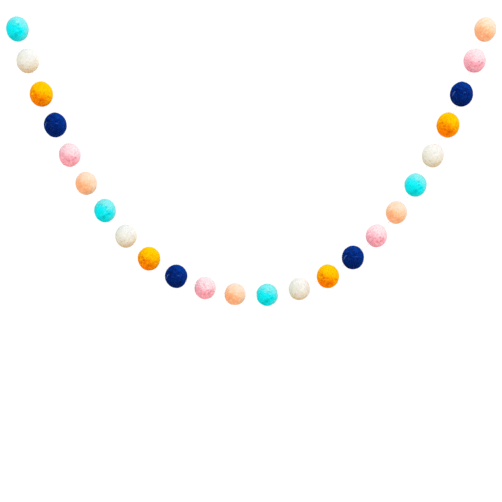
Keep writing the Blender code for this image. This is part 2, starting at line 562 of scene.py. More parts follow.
@dataclass(frozen=True)
class Lock:
    """A small lock of wool in a ball's skin, on its front and again on its back.

    Its place across and up is in half widths of the ball, its length and width are in millimetres and its
    slant in degrees. One without a size of its own is a tuft of the usual size.
    """

    tint: Tint
    across: float
    up: float
    strength: float
    length: float = 2.4
    width: float = 1.9
    slant: float = 0.0
    side_fade: float = 0.3

    def spread(self, seen: np.ndarray, half_width: float) -> np.ndarray:
        """How much of the lock lies at each point.

        Formula: with u along the lock and v across it, exp(-(2u / length)^2 - (2v / width)^2), faded out
        towards the ball's side, where the front meets the back.

        Args:
            seen: Unit vectors of the points, of shape (..., 3), in the row frame.
            half_width: The ball's half width.

        Returns:
            Shares from 0 to the lock's strength.
        """
        x, y, z = np.moveaxis(seen, -1, 0)
        x = np.where(y < 0, x, -x)
        sideways, upward = (x - self.across) * half_width, (z - self.up) * half_width
        cosine, sine = math.cos(math.radians(self.slant)), math.sin(math.radians(self.slant))
        u, v = sideways * cosine + upward * sine, upward * cosine - sideways * sine
        bell = np.exp(-((2 * u / (self.length * MM)) ** 2) - (2 * v / (self.width * MM)) ** 2)
        return self.strength * bell * np.clip(np.abs(y) / self.side_fade, 0, 1)


def locks(tint: Tint, *marks: tuple[float, ...]) -> tuple[Lock, ...]:
    """Locks of one tint, each given by its place across and up and its strength, then its size and slant."""
    return tuple(Lock(tint, *mark) for mark in marks)


@dataclass(frozen=True)
class Lint:
    """A pale hair caught in the skin: the places it runs through, across and up, and how thick it is.

    Its middle stands at the lift over the skin and its ends at the root depth under it. Its points are a
    step apart, in half widths of the ball, and its bends are eased over a few of them.
    """

    places: tuple[Pair, ...]
    radius: float
    lift: float = 0.12 * MM
    root_depth: float = 0.08 * MM
    tip: float = 0.06
    sides: int = 5
    step: float = 0.015
    easing: int = 4


@dataclass(frozen=True)
class WoolPattern:
    """How one dyed wool lies in its balls, with the front and the back alike.

    Light and shade are painted into its colour: it is palest, as if lit, along its way and deepest, as if
    shaded, opposite it, and its base is the paleness halfway.
    """

    painted_light_way: Triple
    painted_light_base: float
    locks: tuple[Lock, ...] = ()
    lint: tuple[Lint, ...] = ()

    def pale_share(self, seen: np.ndarray, half_width: float) -> np.ndarray:
        """From 0 where the painted shade is deepest to 1 where the painted light is strongest.

        Formula: painted_light_way . (x, -|y|, z) + painted_light_base, and each lock's spread times its tint's
        paling.

        Args:
            seen: Unit vectors of the points, of shape (..., 3), in the row frame.
            half_width: The ball's half width.

        Returns:
            The share at each point, which may go past 0 and 1.
        """
        x, y, z = np.moveaxis(seen, -1, 0)
        # Painted light and shade: paler towards the way, deeper away from it, with the rims set apart by |y|.
        share = np.stack((x, -np.abs(y), z), axis=-1) @ np.array(self.painted_light_way) + self.painted_light_base
        for lock in self.locks:
            share = share + lock.tint.paling * lock.spread(seen, half_width)
        return share

    def strongest(self, tint: Tint, seen: np.ndarray, half_width: float) -> np.ndarray:
        """How much wool of one tint lies at each point.

        Args:
            tint: Which locks are looked at.
            seen: Unit vectors of the points, of shape (..., 3), in the row frame.
            half_width: The ball's half width.

        Returns:
            The spread of the strongest such lock at each point, from 0 to 1.
        """
        share = np.zeros(seen.shape[:-1])
        for lock in self.locks:
            if lock.tint is tint:
                share = np.maximum(share, lock.spread(seen, half_width))
        return share


class FeltBall:
    """One hand-rolled wool felt ball: its lumpy skin with two needle mouths, its fibres and pale hairs."""

    def __init__(self, number: int, swag: Swag, sizes: BallSizes) -> None:
        """Works out one ball's oval and place.

        Args:
            number: The ball's number along the thread, from 1 on the left.
            swag: The hanging line.
            sizes: The sizes that all balls share.
        """
        self.number = number
        self.dye = list(Dye)[(number - 1) % len(Dye)]
        self.pattern = PATTERNS[self.dye]
        self.sizes = sizes
        share = swag.share(number)
        scale = SIZE_BY_DYE[self.dye]
        girth = scale * (sizes.girth + sizes.girth_gain * share**2)
        length = scale * (sizes.length + sizes.length_gain * abs(share) ** sizes.gain_power)
        first, last = swag.ball_run(number)
        self.half_axes = np.array((girth, girth, length)) / 2
        self.lean = sizes.lean * math.sin(share * math.pi / 2)
        self.thread_middle = (first + last) / 2
        self.thread_way = unit(last - first)
        square_below = np.array((self.thread_way[2], 0.0, -self.thread_way[0]))
        depth = ALONG_Y * sizes.off_centre_depth * math.sin(sizes.off_centre_shift * number)
        self.centre = self.thread_middle + square_below * swag.hung_below.get(number, 0.0) + depth
        self.dents = Ripples(DENT_SEED + number, sizes.dent_waves)
        self.creases = Ripples(CREASE_SEED + number, sizes.crease_waves)

    @property
    def node(self) -> str:
        """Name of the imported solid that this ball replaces."""
        return f"ball_{self.number:02d}_{self.dye.value}"

    def lump(self, inward: np.ndarray) -> np.ndarray:
        """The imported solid's slow lumps: the mean of sin(wave . direction + shift * number) of its waves."""
        shifts = self.number * np.array(self.sizes.lump_shifts)
        return np.sin(inward @ np.array(self.sizes.lump_waves).T + shifts).mean(axis=-1)

    def skin_point(self, inward: np.ndarray) -> np.ndarray:
        """Points of the felt's surface.

        Formula: the oval's point (x * girth, y * girth, z * length) / 2 is swelled by the slow lumps, moved
        out by the nap and out or in by the dents, and drawn in along the thin lines where the creases'
        waves are near zero. Then it is leaned with the thread and set at the ball's centre.

        Args:
            inward: Unit vectors in the oval's own proportions, of shape (..., 3).

        Returns:
            Points in metres, of the same shape.
        """
        sizes = self.sizes
        crease = np.exp(-((self.creases.at(inward) / sizes.crease_width) ** 2))
        relief = sizes.nap_height + sizes.dent_height * self.dents.at(inward) - sizes.crease_depth * crease
        swell = 1 + sizes.lump_height * self.lump(inward) + relief / self.half_axes[0]
        return self.centre + turned_about_y(inward * self.half_axes * swell[..., None], self.lean)

    def outward(self, inward: np.ndarray) -> np.ndarray:
        """The oval's outward normals: each unit vector divided by the half axes, leaned, at length one."""
        return turned_about_y(unit(inward / self.half_axes), self.lean)

    def seen_from_thread(self, ways: np.ndarray) -> np.ndarray:
        """Where rays from the middle of the thread's run meet the oval.

        Formula: in the oval's proportions a ray is start + r * way, and r is the positive root of
        |start + r * way| = 1.

        Args:
            ways: Directions of the rays in the row frame, of shape (..., 3).

        Returns:
            Unit vectors in the oval's own proportions, of the same shape.
        """
        start = turned_about_y(self.thread_middle - self.centre, -self.lean) / self.half_axes
        way = turned_about_y(ways, -self.lean) / self.half_axes
        square = (way**2).sum(-1)
        half_linear = way @ start
        root = (-half_linear + np.sqrt(half_linear**2 - square * (start @ start - 1))) / square
        return start + root[..., None] * way

    def wool_values(self, inward: np.ndarray, stray: np.ndarray) -> dict[str, np.ndarray]:
        """What the felt's finish reads at each point: a place in the wool, its share of painted light against
        painted shade, how dark and light the wool is there, and whether it is a stray fibre.

        Args:
            inward: Unit vectors in the oval's proportions, of shape (surfaces, points, 3).
            stray: From 0 on the skin to 1 on the palest fibre, of shape (surfaces, points).

        Returns:
            Arrays for PieceMesh.add_closed, by attribute name.
        """
        half_width = self.half_axes[0]
        seen = turned_about_y(inward, self.lean)
        shares = {"pale_share": self.pattern.pale_share(seen, half_width),
                  "dark_share": self.pattern.strongest(Tint.DARK, seen, half_width),
                  "light_share": self.pattern.strongest(Tint.LIGHT, seen, half_width),
                  "stray": stray}
        place = inward * self.half_axes + self.number * np.array(self.sizes.wool_shift)
        return {"wool_place": place, **{key: share[..., None] for key, share in shares.items()}}

    def add_skin(self, mesh: PieceMesh) -> None:
        """Adds the felt surface, a grid whose two poles are the mouths where the thread goes in.

        Formula: rows run from mouth to mouth at the angle pi * (s - crowding * sin(2 pi s) / (2 pi)), so that
        they lie closer round each mouth, and columns run once round the thread. Near a mouth the skin sinks
        by a shallow bell-shaped dimple and a narrow deep one, which the thread fills.

        Args:
            mesh: The piece that takes the surface.
        """
        sizes = self.sizes
        s = np.linspace(0, 1, sizes.skin_rows + 1)
        fall = np.pi * (s - sizes.pole_crowding * np.sin(2 * np.pi * s) / (2 * np.pi))
        turn = corner_angles(sizes.skin_columns)
        across = unit(np.cross(ALONG_Y, self.thread_way))
        beside = np.cross(self.thread_way, across)
        round_thread = np.cos(turn)[:, None] * across + np.sin(turn)[:, None] * beside
        ways = (-np.cos(fall)[:, None, None] * self.thread_way
                + np.sin(fall)[:, None, None] * round_thread[None])
        inward = self.seen_from_thread(ways)
        from_thread = np.sin(fall) * self.half_axes[0]
        mouth = (sizes.dimple_depth * np.exp(-(from_thread / sizes.dimple_width) ** 2)
                 + sizes.pit_depth * np.exp(-(from_thread / sizes.pit_width) ** 2))
        points = self.skin_point(inward) - ways * mouth[:, None, None]
        spots = np.concatenate((inward[1:-1].reshape(-1, 3), inward[:1, 0], inward[-1:, 0]))[None]
        mesh.add_closed(points[None, 1:-1], points[:1, 0], points[-1:, 0],
                        **self.wool_values(spots, np.zeros(spots.shape[:2])))

    def add_fibres(self, mesh: PieceMesh) -> None:
        """Adds the fine stray fibres of carded wool that lie in arcs on the surface.

        Formula: a fibre leaves its root in a random direction along the surface and turns steadily to one
        side. Its height over the skin is an arc, or for some a rising line with a free tip. Each is a
        three-sided tube that narrows to a point at both ends.

        Args:
            mesh: The piece that takes the fibres.
        """
        sizes = self.sizes.fibres
        count = sizes.count
        rng = np.random.default_rng(FIBRE_SEED + self.number)
        root = unit(rng.normal(size=(count, 3)))
        ahead = unit(np.cross(root, unit(rng.normal(size=(count, 3)))))
        aside = np.cross(root, ahead)
        length = sizes.length * np.clip(rng.lognormal(0, sizes.length_spread, count), *sizes.length_range)
        lift = sizes.lift * np.clip(rng.lognormal(0, sizes.lift_spread, count), *sizes.lift_range)
        curl = rng.uniform(-sizes.curl, sizes.curl, count)
        free = rng.random(count) < sizes.free_share
        tone = rng.random(count) ** sizes.rarity
        s = np.linspace(0, 1, sizes.points)
        reach = (length[:, None] * s / self.half_axes[0])[..., None]
        heading = (curl[:, None] * s)[..., None]
        way = ahead[:, None] * np.cos(heading) + aside[:, None] * np.sin(heading)
        inward = root[:, None] * np.cos(reach) + way * np.sin(reach)
        normal = self.outward(inward)
        arc = np.where(free[:, None], s**sizes.free_rise, np.sin(np.pi * s))
        height = lift[:, None] * arc - sizes.root_depth * (1 - arc)
        line = self.skin_point(inward) + normal * height[..., None]
        radius = sizes.radius * slender(s, sizes.tip)
        rings = strand_rings(line, normal, corner_angles(sizes.sides), radius[:, None])
        between = np.repeat(inward[:, 1:-1], sizes.sides, axis=1)
        spots = np.concatenate((between, inward[:, :1], inward[:, -1:]), axis=1)
        stray = np.broadcast_to(sizes.dull + sizes.tone_gain * tone[:, None], spots.shape[:2])
        mesh.add_closed(rings[:, 1:-1], line[:, 0], line[:, -1], **self.wool_values(spots, stray))

    def add_lint(self, mesh: PieceMesh) -> None:
        """Adds the pale hairs that this wool holds, each a thin tube whose two ends sink into the skin.

        Formula: a hair's places x and z give y = -sqrt(1 - x^2 - z^2), on the ball's front. The eased path
        through them is raised from the skin in one arc, with rings that narrow to both ends.

        Args:
            mesh: The piece that takes the hairs.
        """
        for lint in self.pattern.lint:
            x, z = np.array(lint.places).T
            seen = np.stack((x, -np.sqrt(1 - x**2 - z**2), z), axis=-1)
            eased = rounded_off(evenly(seen, lint.step), lint.easing)
            inward = unit(turned_about_y(eased, -self.lean))
            normal = self.outward(inward)
            s = np.linspace(0, 1, len(inward))
            arc = np.sin(np.pi * s)[:, None]
            line = self.skin_point(inward) + normal * (lint.lift * arc - lint.root_depth * (1 - arc))
            radius = lint.radius * slender(s, lint.tip)
            rings = strand_rings(line, normal, corner_angles(lint.sides), radius[:, None])
            spots = np.concatenate((np.repeat(inward, lint.sides, axis=0), inward[:1], inward[-1:]))[None]
            values = self.wool_values(spots, np.ones(spots.shape[:2]))
            mesh.add_closed(rings[None], line[:1], line[-1:], **values)

    def build(self, finish: FeltFinish) -> bpy.types.Object:
        """Makes the ball, dresses it and puts it in its solid's place.

        Args:
            finish: The dyed wool of this ball.

        Returns:
            The finished ball.
        """
        mesh = PieceMesh(f"felt_{self.number:02d}_{self.dye.value}")
        self.add_skin(mesh)
        self.add_fibres(mesh)
        self.add_lint(mesh)
        ball = mesh.make()
        ball.data.materials.append(finish.material())
        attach(ball, BODY)
        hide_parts(self.node)
        return ball


class CottonThread:
    """The one thread that carries every ball, from the knot of the left loop to that of the right one."""

    def __init__(self, swag: Swag, loop: LoopSizes, sizes: ThreadSizes) -> None:
        """Works out the thread's route.

        The route runs straight through every ball, round the gaps between them on the hanging line, and
        straight up to each knot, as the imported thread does.

        Args:
            swag: The hanging line.
            loop: Sizes of the loop and knot at each end.
            sizes: Sizes of the thread.
        """
        self.sizes = sizes
        between = [(swag.ball_place(n) + swag.ball_place(n + 1)) / 2 for n in range(1, swag.ball_count)]
        gaps = swag.points_at(np.array(between))
        route = [loop_base(swag, loop, sizes, Side.LEFT)]
        for number in range(1, swag.ball_count + 1):
            route.extend(swag.ball_run(number))
            if number < swag.ball_count:
                route.append(gaps[number - 1])
        route.append(loop_base(swag, loop, sizes, Side.RIGHT))
        self.route = np.array(route)

    @property
    def length(self) -> float:
        """Length of the route in metres."""
        return float(np.linalg.norm(np.diff(self.route, axis=0), axis=1).sum())

    def build(self, finish: CottonFinish, loops: list[bpy.types.Object]) -> bpy.types.Object:
        """Args:
            finish: The cotton.
            loops: The two hanging loops in which it ends; not used.

        Returns:
            The finished thread.
        """
        mesh = PieceMesh("cotton_thread")
        add_plied_tube(mesh, evenly(self.route, self.sizes.step), ALONG_Y, self.sizes)
        thread = mesh.make()
        thread.data.materials.append(finish.material())
        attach(thread, BODY)
        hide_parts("thread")
        return thread


class HangingLoop:
    """The loop that goes over a hook, with the knot that closes it and the thread's cut tail."""

    def __init__(self, side: Side, swag: Swag, sizes: LoopSizes, thread: ThreadSizes) -> None:
        """Works out where the loop stands and which way it points.

        Args:
            side: The end of the thread at which it hangs.
            swag: The hanging line.
            sizes: Sizes of the loop and knot.
            thread: Sizes of the thread.
        """
        _, way = swag.end_line(side)
        self.side = side
        self.sizes = sizes
        self.thread = thread
        self.base = loop_base(swag, sizes, thread, side)
        self.lean = math.atan2(way[0], way[2])

    @property
    def node(self) -> str:
        """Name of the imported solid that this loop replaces."""
        return f"loop_{self.side.name.lower()}"

    def placed(self, local: np.ndarray) -> np.ndarray:
        """Points given from the knot's middle, with the loop up +Z, moved to where they hang."""
        return self.base + turned_about_y(local + ALONG_Z * self.sizes.knot_middle, self.lean)

    def ring_path(self) -> np.ndarray:
        """The strand from the thread's end up into the knot, and from there the loop's legs and round top.

        Formula: from the splice inside the thread's end straight up to the knot's middle; then the height is
        (1 - cos t) / 2 of the length, and the half width is sin t times that share to the power of the
        fullness.

        Returns:
            Points of shape (points, 3), from the knot's middle.
        """
        sizes = self.sizes
        t = np.linspace(sizes.leg_start, 2 * np.pi - sizes.leg_start, sizes.ring_points)
        share = (1 - np.cos(t)) / 2
        width = np.sin(t) * share**sizes.fullness
        ring = np.stack((width * sizes.width / 2, 0 * t, share * sizes.length), axis=-1)
        foot = -ALONG_Z[None] * (sizes.knot_middle + sizes.splice)
        return np.concatenate((foot, ring))

    def knot_path(self) -> np.ndarray:
        """The wraps round the two legs, the strand that crosses over them, and the cut tail.

        Formula: a helix round Z that climbs the knot's height; then a turn further out that comes back down,
        whose distance follows the root of a sine; then a straight tail that leaves it sideways and droops
        with the square of its length.

        Returns:
            Points of shape (points, 3), from the knot's middle.
        """
        sizes = self.sizes
        turns = 2 * np.pi * sizes.wraps
        t = np.linspace(0, 1, sizes.wrap_points)
        radius = sizes.wrap_radius * np.clip(t / sizes.wrap_start, 0, 1)
        climb = sizes.wrap_height * (2 * t - 1)
        helix = np.stack((radius * np.cos(turns * t), radius * np.sin(turns * t), climb), axis=-1)
        back = np.linspace(0, 1, sizes.cross_points)[1:]
        angle = turns + sizes.cross_turn * back
        rise = sizes.cross_rise * np.sin(np.pi * np.clip(back, 0, sizes.cross_held)) ** 0.5
        out = sizes.wrap_radius + self.thread.diameter * rise
        drop = sizes.wrap_height * (1 - 2 * back)
        over = np.stack((out * np.cos(angle), out * np.sin(angle), drop), axis=-1)
        leave = unit(over[-1] - over[-3])
        run = np.linspace(0, sizes.tail_length, sizes.tail_points)[1:, None]
        tail = over[-1] + leave * run - ALONG_Z * run**2 / (sizes.tail_stiffness * sizes.tail_length)
        whole = evenly(np.concatenate((helix, over, tail)), sizes.knot_step)
        return rounded_off(whole, sizes.knot_easing)

    def build(self, finish: CottonFinish) -> bpy.types.Object:
        """Makes the loop, dresses it and puts it in its solid's place.

        Args:
            finish: The cotton.

        Returns:
            The finished loop.
        """
        mesh = PieceMesh(f"hanging_loop_{self.side.name.lower()}")
        ring = evenly(self.placed(self.ring_path()), self.thread.step)
        knot = self.placed(self.knot_path())
        add_plied_tube(mesh, ring, ALONG_Y, self.thread)
        add_plied_tube(mesh, knot, turned_about_y(ALONG_Z, self.lean), self.thread, self.sizes.knot_strand)
        loop = mesh.make()
        loop.data.materials.append(finish.material())
        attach(loop, BODY)
        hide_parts(self.node)
        return loop


@dataclass(frozen=True)
class Grain:
    """One size of soft random patches: how many to a unit of place, and how fine, rough and twisted."""

    scale: float
    detail: float = 3.0
    roughness: float = 0.55
    distortion: float = 0.0


class NodeBench:
    """Places and links the nodes of one node tree."""

    def __init__(self, tree: bpy.types.NodeTree) -> None:
        """Works on that tree."""
        self.tree = tree

    def feed(self, socket: bpy.types.NodeSocket, value: object) -> None:
        """Links an output to the input, or sets the input to a plain value.

        Args:
            socket: The input.
            value: An output, or a number or colour.
        """
        if isinstance(value, bpy.types.NodeSocket):
            self.tree.links.new(value, socket)
        else:
            socket.default_value = value

    def node(self, kind: str, inputs: dict[str | int, object] | None = None,
             **settings: object) -> bpy.types.Node:
        """Adds a node.

        Args:
            kind: The node's type name.
            inputs: Sockets or plain values for its inputs, by name or place.
            settings: The node's own settings.

        Returns:
            The new node.
        """
        node = self.tree.nodes.new(kind)
        for key, value in settings.items():
            setattr(node, key, value)
        for key, value in (inputs or {}).items():
            self.feed(node.inputs[key], value)
        return node

    def math(self, operation: str, *values: object) -> bpy.types.NodeSocket:
        """The result of one sum on numbers or outputs."""
        return self.node("ShaderNodeMath", dict(enumerate(values)), operation=operation).outputs[0]

    def centred(self, value: object) -> bpy.types.NodeSocket:
        """A value from 0 to 1 less its middle."""
        return self.math("SUBTRACT", value, 0.5)

    def ramp(self, value: object, low: float, high: float, to_low: float = 0.0,
             to_high: float = 1.0) -> bpy.types.NodeSocket:
        """Value eased from to_low at low to to_high at high, and held beyond them."""
        inputs = {0: value, 1: low, 2: high, 3: to_low, 4: to_high}
        return self.node("ShaderNodeMapRange", inputs, interpolation_type="SMOOTHSTEP").outputs[0]

    def mix(self, factor: object, first: object, second: object) -> bpy.types.NodeSocket:
        """A colour between two colours."""
        return self.node("ShaderNodeMix", {0: factor, 6: first, 7: second}, data_type="RGBA").outputs[2]

    def shade(self, values: dict[str, object]) -> None:
        """Feeds the material's own shader.

        Args:
            values: Sockets or plain values, by the names of the shader's inputs.
        """
        shader = self.tree.nodes["Principled BSDF"]
        for key, value in values.items():
            self.feed(shader.inputs[key], value)

    def attribute(self, name: str, output: str = "Fac") -> bpy.types.NodeSocket:
        """A value that the mesh carries under that name."""
        return self.node("ShaderNodeAttribute", attribute_name=name).outputs[output]

    def noise(self, place: bpy.types.NodeSocket, grain: Grain) -> bpy.types.NodeSocket:
        """Soft random patches of that grain, from 0 to 1."""
        inputs = {"Vector": place, "Scale": grain.scale, "Detail": grain.detail,
                  "Roughness": grain.roughness, "Distortion": grain.distortion}
        return self.node("ShaderNodeTexNoise", inputs).outputs["Fac"]


def opaque(colour: Colour) -> tuple[float, float, float, float]:
    """A colour with full alpha, as sockets take it."""
    return (*colour, 1.0)


def new_group(name: str, inputs: dict[str, object]) -> tuple[NodeBench, bpy.types.NodeOutputs]:
    """Starts a shader node group that puts out the colour, roughness and height of a surface.

    Args:
        name: The group's name.
        inputs: The default of each input, a number or a colour, by name.

    Returns:
        The bench on the group's tree, and what its inputs give inside it.
    """
    tree = bpy.data.node_groups.new(name, "ShaderNodeTree")
    for key, value in inputs.items():
        kind = "NodeSocketFloat" if isinstance(value, float) else "NodeSocketColor"
        socket = tree.interface.new_socket(key, in_out="INPUT", socket_type=kind)
        socket.default_value = value if isinstance(value, float) else opaque(value)
    for key, kind in SURFACE_OUTPUTS.items():
        tree.interface.new_socket(key, in_out="OUTPUT", socket_type=kind)
    bench = NodeBench(tree)
    return bench, bench.node("NodeGroupInput").outputs


def new_material(name: str) -> tuple[bpy.types.Material, NodeBench]:
    """Starts a material with nodes.

    Args:
        name: The material's name.

    Returns:
        The material, and the bench on its nodes.
    """
    material = bpy.data.materials.new(name)
    material.use_nodes = True
    return material, NodeBench(material.node_tree)


@dataclass(frozen=True)
class MattedWool:
    """The look of matted wool that all six dyes share.

    The colour drifts from deep, a painted shade, to pale, a painted light, across a ball, and patches, wisps
    and tufts break it up. Dark locks and small flecks show in the deep, painted-shade part, fine ridges stand
    for matted strands, light locks are brighter, and stray fibres take their own lighter colour. A range that
    ends in edge is where a mask eases in.
    """

    patches: Grain = Grain(260.0, 2.0, 0.55, 0.8)
    wisps: Grain = Grain(780.0, 2.0, 0.6, 2.0)
    tufts: Grain = Grain(1150.0, 3.0, 0.6, 0.9)
    strands: Grain = Grain(3600.0, 2.0, 0.6, 1.6)
    flecks: Grain = Grain(900.0, 2.0, 0.5, 0.3)
    wisp_drift: float = 1.7
    painted_shade_edge: Pair = (0.0, 0.5)
    painted_light_edge: Pair = (0.5, 1.0)
    fleck_edge: Pair = (0.56, 0.70)
    fleck_drift: Pair = (0.55, 0.15)
    strand_edge: Pair = (0.38, 0.64)
    strand_gain: float = 1.35
    strand_least: float = 0.25
    ridge_sharpness: float = 6.0
    ridge_edge: Pair = (-0.2, 1.0)
    ridge_middle: float = 0.6
    ridge_tone: float = 0.5
    wisp_tone: float = 1.8
    light_gain: float = 0.2
    ridge_height: float = 0.35
    tuft_height: float = 0.9
    rough_edge: Pair = (0.3, 0.7)
    roughness: Pair = (0.86, 1.0)

    def group(self) -> bpy.types.NodeTree:
        """The node group, made at its first use.

        Formula: drift = painted light share + patchiness * (tufts + wisp_drift * wisps + patches), each about
        zero.
        It picks the colour between deep (painted shade), body and pale (painted light), dark strands and
        flecks are laid over that, and all is multiplied by 1 + light_gain * light share + contrast * (wisps,
        tufts and ridges about zero).

        Returns:
            The group, with five colours and three amounts as inputs.
        """
        name = "wool_felt"
        if name in bpy.data.node_groups:
            return bpy.data.node_groups[name]
        colours = dict.fromkeys(("Pale", "Body", "Deep", "Fleck", "Lint"), GREY)
        amounts = {"Patchiness": 0.5, "Fleck Amount": 0.5, "Fibre Contrast": 0.1}
        bench, given = new_group(name, {**colours, **amounts})
        place = bench.attribute("wool_place", "Vector")
        patches, wisps, tufts, matted = (
            bench.noise(place, grain) for grain in (self.patches, self.wisps, self.tufts, self.strands))
        ridge = bench.math("MULTIPLY_ADD", matted, self.ridge_sharpness, -self.ridge_sharpness / 2)
        ridge = bench.math("SUBTRACT", 1.0, bench.math("ABSOLUTE", ridge))
        ridge = bench.ramp(ridge, *self.ridge_edge)

        uneven = bench.math("MULTIPLY_ADD", bench.centred(wisps), self.wisp_drift, bench.centred(patches))
        uneven = bench.math("ADD", bench.centred(tufts), uneven)
        # Painted light and shade: the share runs from the shaded side to the lit side, with Deep the dye
        # painted as shaded and Pale the dye painted as lit; wool patches break it up.
        light_and_tone_drift = bench.math("MULTIPLY_ADD", uneven, given["Patchiness"], bench.attribute("pale_share"))
        colour = bench.mix(bench.ramp(light_and_tone_drift, *self.painted_shade_edge), given["Deep"], given["Body"])
        colour = bench.mix(bench.ramp(light_and_tone_drift, *self.painted_light_edge), colour, given["Pale"])

        fleck = bench.math("MULTIPLY", bench.ramp(bench.noise(place, self.flecks), *self.fleck_edge),
                           bench.ramp(light_and_tone_drift, *self.fleck_drift))
        fleck = bench.math("MULTIPLY", fleck, given["Fleck Amount"])
        strands = bench.math("MULTIPLY_ADD", bench.ramp(matted, *self.strand_edge), self.strand_gain,
                             self.strand_least)
        broken = bench.math("MULTIPLY", bench.attribute("dark_share"), strands)
        colour = bench.mix(bench.math("MAXIMUM", fleck, broken), colour, given["Fleck"])

        strokes = bench.math("MULTIPLY_ADD", bench.math("SUBTRACT", ridge, self.ridge_middle),
                             self.ridge_tone, bench.centred(tufts))
        strokes = bench.math("MULTIPLY_ADD", bench.centred(wisps), self.wisp_tone, strokes)
        lightened = bench.math("MULTIPLY_ADD", bench.attribute("light_share"), self.light_gain, 1.0)
        tone = bench.math("MULTIPLY_ADD", strokes, given["Fibre Contrast"], lightened)
        toned = bench.node("ShaderNodeVectorMath", {0: colour, "Scale": tone}, operation="SCALE")
        colour = bench.mix(bench.attribute("stray"), toned.outputs[0], given["Lint"])

        height = bench.math("MULTIPLY_ADD", tufts, self.tuft_height, patches)
        height = bench.math("MULTIPLY_ADD", ridge, self.ridge_height, height)
        roughness = bench.ramp(tufts, *self.rough_edge, *self.roughness)
        bench.node("NodeGroupOutput", {"Color": colour, "Roughness": roughness, "Height": height})
        return bench.tree


@dataclass(frozen=True)
class PliedCotton:
    """The look of plied cotton: fine hairs along each ply, and shade painted into the grooves between the
    plies.

    The hairs are patches drawn out along the thread, along_scale to a metre, and slanted across it by
    slant_scale to a metre and round_scale to a radian.
    """

    hairs: Grain = Grain(1.6, 3.0, 0.65)
    along_scale: float = 260.0
    slant_scale: float = 900.0
    round_scale: float = 3.0
    painted_groove_edge: Pair = (0.80, 0.92)
    hair_edge: Pair = (0.25, 0.55)
    hair_shade: Pair = (0.75, 1.0)
    rough_edge: Pair = (0.3, 0.7)
    roughness: Pair = (0.75, 0.95)

    def group(self) -> bpy.types.NodeTree:
        """The node group, made at its first use.

        Returns:
            The group, with the colours of the cotton and of the painted shade in its grooves as inputs.
        """
        name = "cotton_ply"
        if name in bpy.data.node_groups:
            return bpy.data.node_groups[name]
        bench, given = new_group(name, {"Cotton": GREY, "Groove": GREY})
        split = bench.node("ShaderNodeSeparateXYZ", {0: bench.attribute("ply_place", "Vector")})
        along, turn, ply = split.outputs
        slanted = bench.math("MULTIPLY_ADD", along, self.slant_scale,
                             bench.math("MULTIPLY", turn, self.round_scale))
        drawn_out = bench.math("MULTIPLY", along, self.along_scale)
        hair_place = bench.node("ShaderNodeCombineXYZ", {0: drawn_out, 1: slanted, 2: ply}).outputs[0]
        hairs = bench.noise(hair_place, self.hairs)
        # Painted shade: where the ring sinks between the plies the colour turns to the groove shade, and the
        # hairs add tone.
        shade = bench.math("MULTIPLY", bench.ramp(ply, *self.painted_groove_edge),
                           bench.ramp(hairs, *self.hair_edge, *self.hair_shade))
        colour = bench.mix(shade, given["Groove"], given["Cotton"])
        roughness = bench.ramp(hairs, *self.rough_edge, *self.roughness)
        bench.node("NodeGroupOutput", {"Color": colour, "Roughness": roughness, "Height": hairs})
        return bench.tree


def dressed(name: str, look: MattedWool | PliedCotton, chosen: dict[str, object], bump: Pair,
            plain: dict[str, object]) -> bpy.types.Material:
    """A material whose colour, roughness and height come from a look's node group.

    Args:
        name: The material's name.
        look: What makes the node group.
        chosen: Values for the group's inputs, by name.
        bump: How strongly the height shows, and how deep it is in metres.
        plain: Values for the shader's own sockets, by name.

    Returns:
        The material, made at its first use and the same one after that.
    """
    if name in bpy.data.materials:
        return bpy.data.materials[name]
    material, bench = new_material(name)
    surface = bench.node("ShaderNodeGroup", chosen, node_tree=look.group()).outputs
    inputs = {"Strength": bump[0], "Distance": bump[1], "Height": surface["Height"]}
    normal = bench.node("ShaderNodeBump", inputs).outputs["Normal"]
    bench.shade({"Base Color": surface["Color"], "Roughness": surface["Roughness"], "Normal": normal})
    bench.shade(plain)
    return material


@dataclass(frozen=True)
class FeltFinish:
    """One dyed wool felt, in linear colours: pale is its dye painted as lit, deep its dye painted as shaded,
    and body lies between them.
    """

    dye: Dye
    pale: Colour
    body: Colour
    deep: Colour
    fleck: Colour
    lint: Colour
    patchiness: float = 1.15
    fleck_amount: float = 0.5
    fibre_contrast: float = 0.45
    sheen: float = 0.06
    sheen_roughness: float = 0.5
    bump: Pair = (0.7, 0.18 * MM)

    def material(self) -> bpy.types.Material:
        """The felt's material, shared by all balls of that dye.

        Returns:
            The material.
        """
        chosen = {"Pale": opaque(self.pale), "Body": opaque(self.body), "Deep": opaque(self.deep),
                  "Fleck": opaque(self.fleck), "Lint": opaque(self.lint), "Patchiness": self.patchiness,
                  "Fleck Amount": self.fleck_amount, "Fibre Contrast": self.fibre_contrast}
        plain = {"Specular IOR Level": 0.0, "Sheen Weight": self.sheen,
                 "Sheen Roughness": self.sheen_roughness, "Sheen Tint": opaque(self.pale)}
        return dressed(f"dyed_wool_{self.dye.value}", MattedWool(), chosen, self.bump, plain)


@dataclass(frozen=True)
class CottonFinish:
    """Bleached cotton thread, in linear colours, with shade painted into its grooves."""

    cotton: Colour = (0.985, 0.98, 0.97)
    # Painted shade for the grooves between the plies.
    groove: Colour = (0.90, 0.89, 0.87)
    specular: float = 0.1
    sheen: float = 0.2
    bump: Pair = (0.5, 0.04 * MM)

    def material(self) -> bpy.types.Material:
        """The cotton's material, shared by the thread and both loops.

        Returns:
            The material.
        """
        chosen = {"Cotton": opaque(self.cotton), "Groove": opaque(self.groove)}
        plain = {"Specular IOR Level": self.specular, "Sheen Weight": self.sheen}
        return dressed("bleached_cotton", PliedCotton(), chosen, self.bump, plain)
